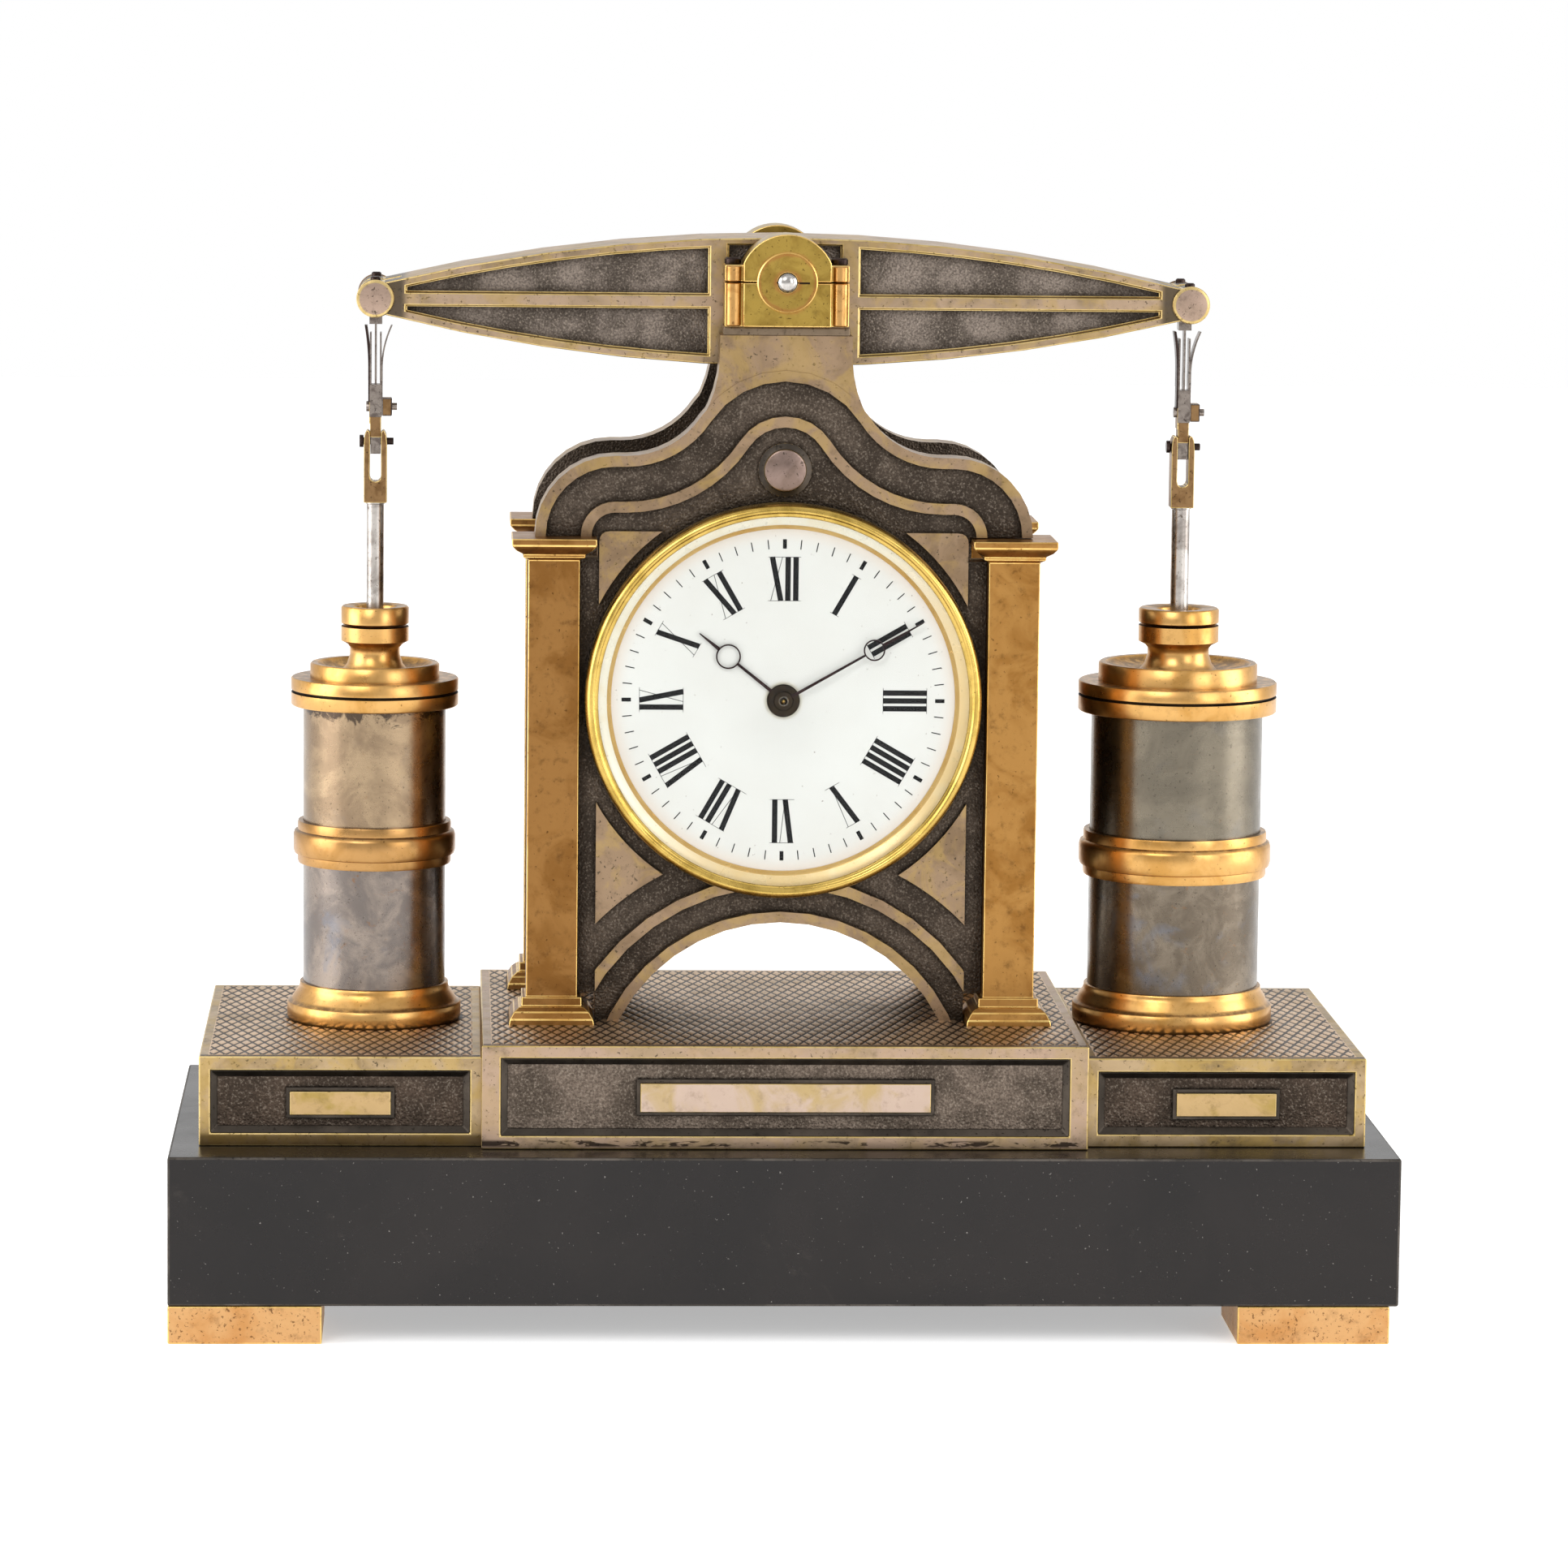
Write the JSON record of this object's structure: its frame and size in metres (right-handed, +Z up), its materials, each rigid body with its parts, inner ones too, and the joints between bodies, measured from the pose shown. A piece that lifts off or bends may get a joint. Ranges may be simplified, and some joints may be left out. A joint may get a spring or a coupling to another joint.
{
  "type": "beam engine mantel clock",
  "caption": "Mechanical mantel clock shaped as a beam engine: marble base, drum movement in a double frame, rocking beam with hanging links over two steam cylinders.",
  "frame": {"origin": "on the surface the feet stand on, under the middle of the plinth", "axes": "+X along the plinth to the viewer's right, +Y to the back, +Z up"},
  "size_m": [0.36, 0.156, 0.321],
  "materials": {
    "marble": "polished black marble with small chips",
    "foot_brass": "rose gilt, softly worn",
    "gilt": "warm brown gilding, mottled",
    "silvered": "silvered bronze with worn brass edges",
    "patina": "dark stippled patina in the fields, silvered on the rims",
    "brass": "olive brass with heat tint",
    "blued_steel": "dark blued steel",
    "movement_brass": "lacquered brass",
    "bezel_brass": "polished gilt",
    "glass": "flat clear glass",
    "enamel": "white vitreous enamel with black numerals",
    "steel": "polished steel",
    "ring_gilt": "satin gilt rings with dark joint lines",
    "gunmetal": "dark gunmetal, mottled"
  },
  "bodies": {
    "clock_frame": {"marble_plinth": "marble", "foot_front_left": "foot_brass", "foot_front_right": "foot_brass", "foot_rear_left": "foot_brass", "foot_rear_right": "foot_brass", "pilaster_front_left": "gilt", "pilaster_front_right": "gilt", "pilaster_rear_left": "gilt", "pilaster_rear_right": "gilt", "centre_pedestal": "silvered", "left_pedestal": "silvered", "right_pedestal": "silvered", "front_frame_plate": "patina", "rear_frame_plate": "patina", "front_bearing_block": "brass", "front_bearing_cap": "brass", "rear_bearing_block": "brass", "rear_bearing_cap": "brass", "front_cap_screw_left": "blued_steel", "front_cap_screw_right": "blued_steel", "rear_cap_screw_left": "blued_steel", "rear_cap_screw_right": "blued_steel", "crank_bush": "silvered", "drum_case": "movement_brass", "front_bezel": "bezel_brass", "dial_glass": "glass", "dial": "enamel", "movement_frame": "movement_brass", "left_cylinder_base": "ring_gilt", "left_cylinder_barrel": "gunmetal", "left_cylinder_band": "ring_gilt", "left_cylinder_cover": "ring_gilt", "left_cylinder_gland_nut": "ring_gilt", "right_cylinder_base": "ring_gilt", "right_cylinder_barrel": "gunmetal", "right_cylinder_band": "ring_gilt", "right_cylinder_cover": "ring_gilt", "right_cylinder_gland_nut": "ring_gilt"},
    "door": {"back_door": "bezel_brass"},
    "rocking_beam": {"beam": "silvered", "trunnion_shaft": "steel", "left_end_pin": "silvered", "right_end_pin": "silvered"},
    "left_link": {"left_hanging_link": "steel", "left_clevis_pin": "blued_steel"},
    "right_link": {"right_hanging_link": "steel", "right_clevis_pin": "blued_steel"},
    "left_rod": {"left_clevis": "brass", "left_piston_rod": "steel"},
    "right_rod": {"right_clevis": "brass", "right_piston_rod": "steel"},
    "crank": {"crank_disc": "steel"},
    "minute_arbor": {"centre_arbor": "steel", "minute_hand": "blued_steel"},
    "motion_wheel": {"minute_wheel": "movement_brass"},
    "hour_pipe": {"hour_wheel": "movement_brass", "hour_hand": "blued_steel"},
    "going_spring_barrel": {"going_barrel": "movement_brass"},
    "automaton_spring_barrel": {"automaton_barrel": "movement_brass"},
    "balance": {"balance_wheel": "movement_brass"}
  },
  "joints": [
    {"name": "door_hinge", "type": "hinge", "parent": "clock_frame", "child": "door", "pos_m": [0.0566, 0.0594, 0.1831], "axis": [0, 0, 1], "range_deg": [-110, 0]},
    {"name": "beam_rock", "type": "hinge", "parent": "clock_frame", "child": "rocking_beam", "pos_m": [0, 0.0155, 0.3068], "axis": [0, 1, 0], "range_deg": [-8, 8]},
    {"name": "left_link_swing", "type": "hinge", "parent": "rocking_beam", "child": "left_link", "pos_m": [-0.1214, 0.011, 0.3002], "axis": [0, 1, 0], "range_deg": [-8, 8]},
    {"name": "right_link_swing", "type": "hinge", "parent": "rocking_beam", "child": "right_link", "pos_m": [0.1214, 0.011, 0.3002], "axis": [0, 1, 0], "range_deg": [-8, 8]},
    {"name": "left_rod_swing", "type": "hinge", "parent": "left_link", "child": "left_rod", "pos_m": [-0.1214, 0.011, 0.2566], "axis": [1, 0, 0], "range_deg": [-1.2, 1.2]},
    {"name": "right_rod_swing", "type": "hinge", "parent": "right_link", "child": "right_rod", "pos_m": [0.1214, 0.011, 0.2566], "axis": [1, 0, 0], "range_deg": [-1.2, 1.2]},
    {"name": "crank_turn", "type": "hinge", "parent": "clock_frame", "child": "crank", "pos_m": [0, 0.0059, 0.2513], "axis": [0, 1, 0], "range_deg": [-42, 42]},
    {"name": "minute_turn", "type": "hinge", "parent": "clock_frame", "child": "minute_arbor", "pos_m": [0, 0, 0.1831], "axis": [0, 1, 0], "continuous": true},
    {"name": "motion_wheel_turn", "type": "hinge", "parent": "clock_frame", "child": "motion_wheel", "pos_m": [0.012, -0.0158, 0.1831], "axis": [0, 1, 0], "continuous": true},
    {"name": "hour_turn", "type": "hinge", "parent": "clock_frame", "child": "hour_pipe", "pos_m": [0, -0.018, 0.1831], "axis": [0, 1, 0], "continuous": true},
    {"name": "going_barrel_turn", "type": "hinge", "parent": "clock_frame", "child": "going_spring_barrel", "pos_m": [-0.024, 0.002, 0.1831], "axis": [0, 1, 0], "continuous": true},
    {"name": "automaton_barrel_turn", "type": "hinge", "parent": "clock_frame", "child": "automaton_spring_barrel", "pos_m": [0.024, 0.002, 0.1831], "axis": [0, 1, 0], "continuous": true},
    {"name": "balance_swing", "type": "hinge", "parent": "clock_frame", "child": "balance", "pos_m": [0, 0.0232, 0.2151], "axis": [0, 1, 0], "range_deg": [-135, 135]}
  ],
  "couplings": [
    {"joint": "left_link_swing", "follows": "beam_rock", "ratio": -1},
    {"joint": "right_link_swing", "follows": "beam_rock", "ratio": -1},
    {"joint": "crank_turn", "follows": "beam_rock", "ratio": -5.2},
    {"joint": "minute_turn", "follows": "going_barrel_turn", "ratio": -5},
    {"joint": "motion_wheel_turn", "follows": "going_barrel_turn", "ratio": 1.6667},
    {"joint": "hour_turn", "follows": "going_barrel_turn", "ratio": -0.41667}
  ]
}
